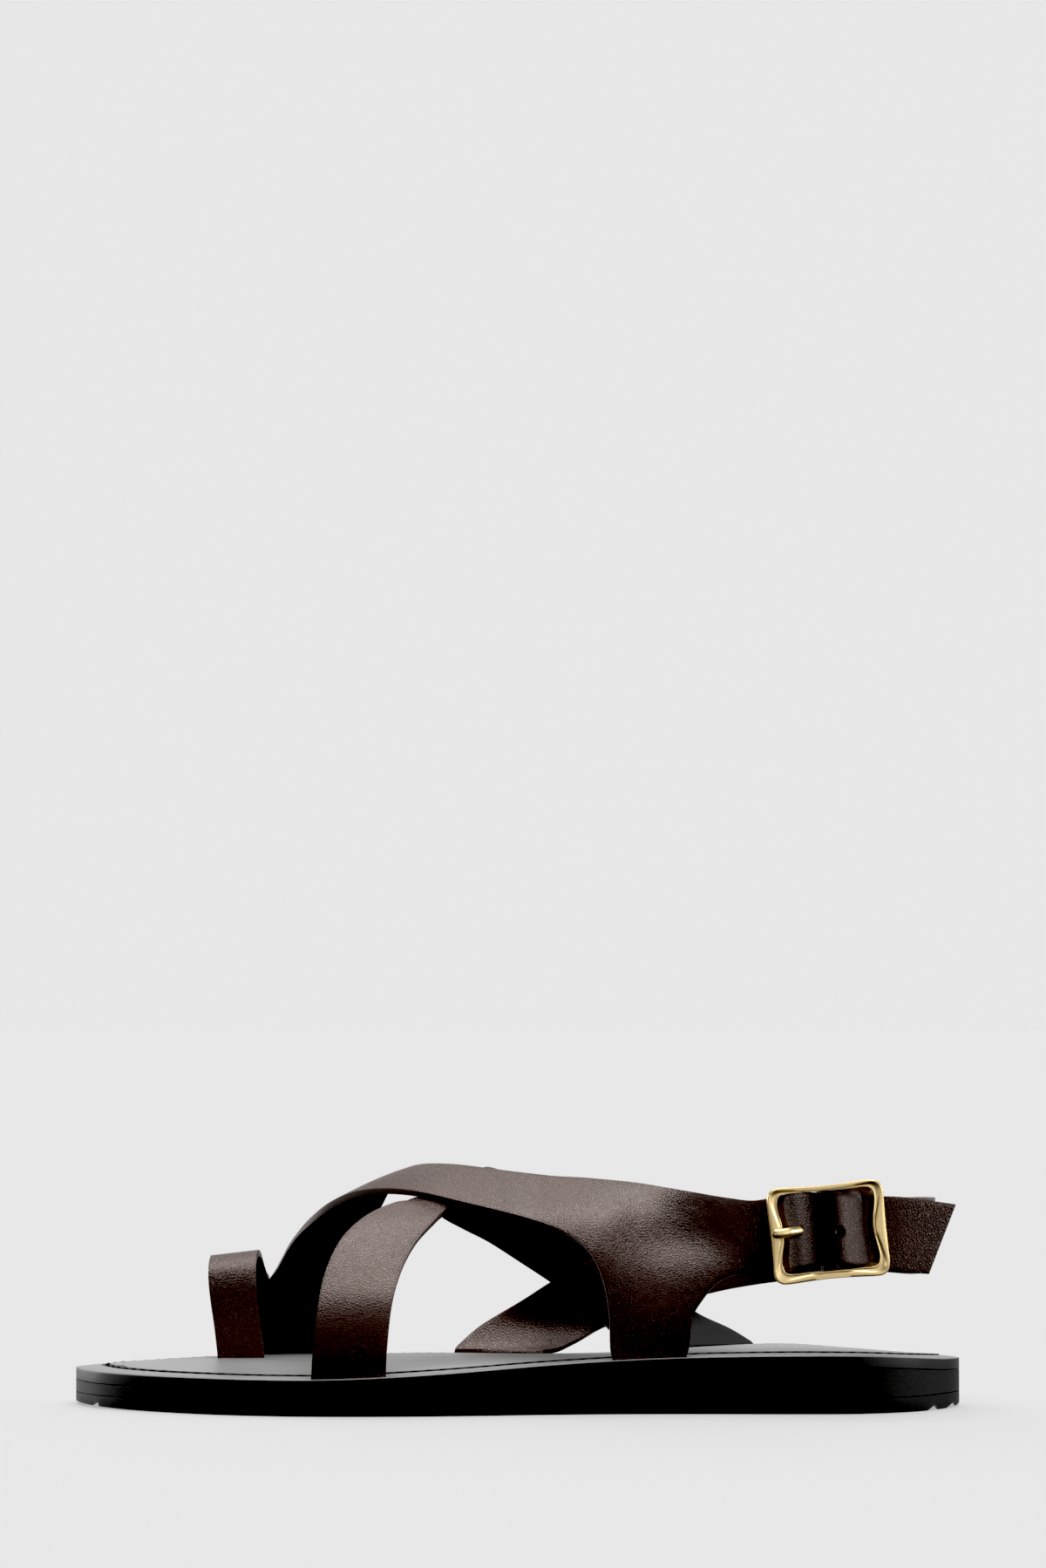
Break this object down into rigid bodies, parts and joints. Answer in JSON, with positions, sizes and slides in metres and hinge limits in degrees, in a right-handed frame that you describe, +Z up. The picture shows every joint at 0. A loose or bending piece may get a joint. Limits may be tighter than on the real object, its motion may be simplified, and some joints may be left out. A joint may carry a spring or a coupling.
{
  "type": "flat sandal",
  "caption": "Flat leather sandal for the left foot: toe loop, crossed straps, heel strap closed by a centre-bar buckle, stacked flat sole.",
  "frame": {"origin": "centre of the bounding box on the floor that the sole stands on", "axes": "+X from the toe to the heel, -Y to the outer side with the buckle, +Y to the inner side with the toe loop, +Z up"},
  "size_m": [0.256, 0.0899, 0.0691],
  "materials": {
    "outsole_rubber": "matt black, fine grain",
    "midsole_rubber": "matt black, ground flush",
    "footbed_leather": "smooth charcoal leather, satin",
    "strap_leather": "dark brown pebbled leather, satin",
    "buckle_brass": "satin gold-coloured casting"
  },
  "bodies": {
    "root": {"outsole": "outsole_rubber", "midsole": "midsole_rubber", "footbed": "footbed_leather", "upper": "strap_leather", "buckle_frame": "buckle_brass", "buckle_prong": "buckle_brass"}
  },
  "joints": []
}
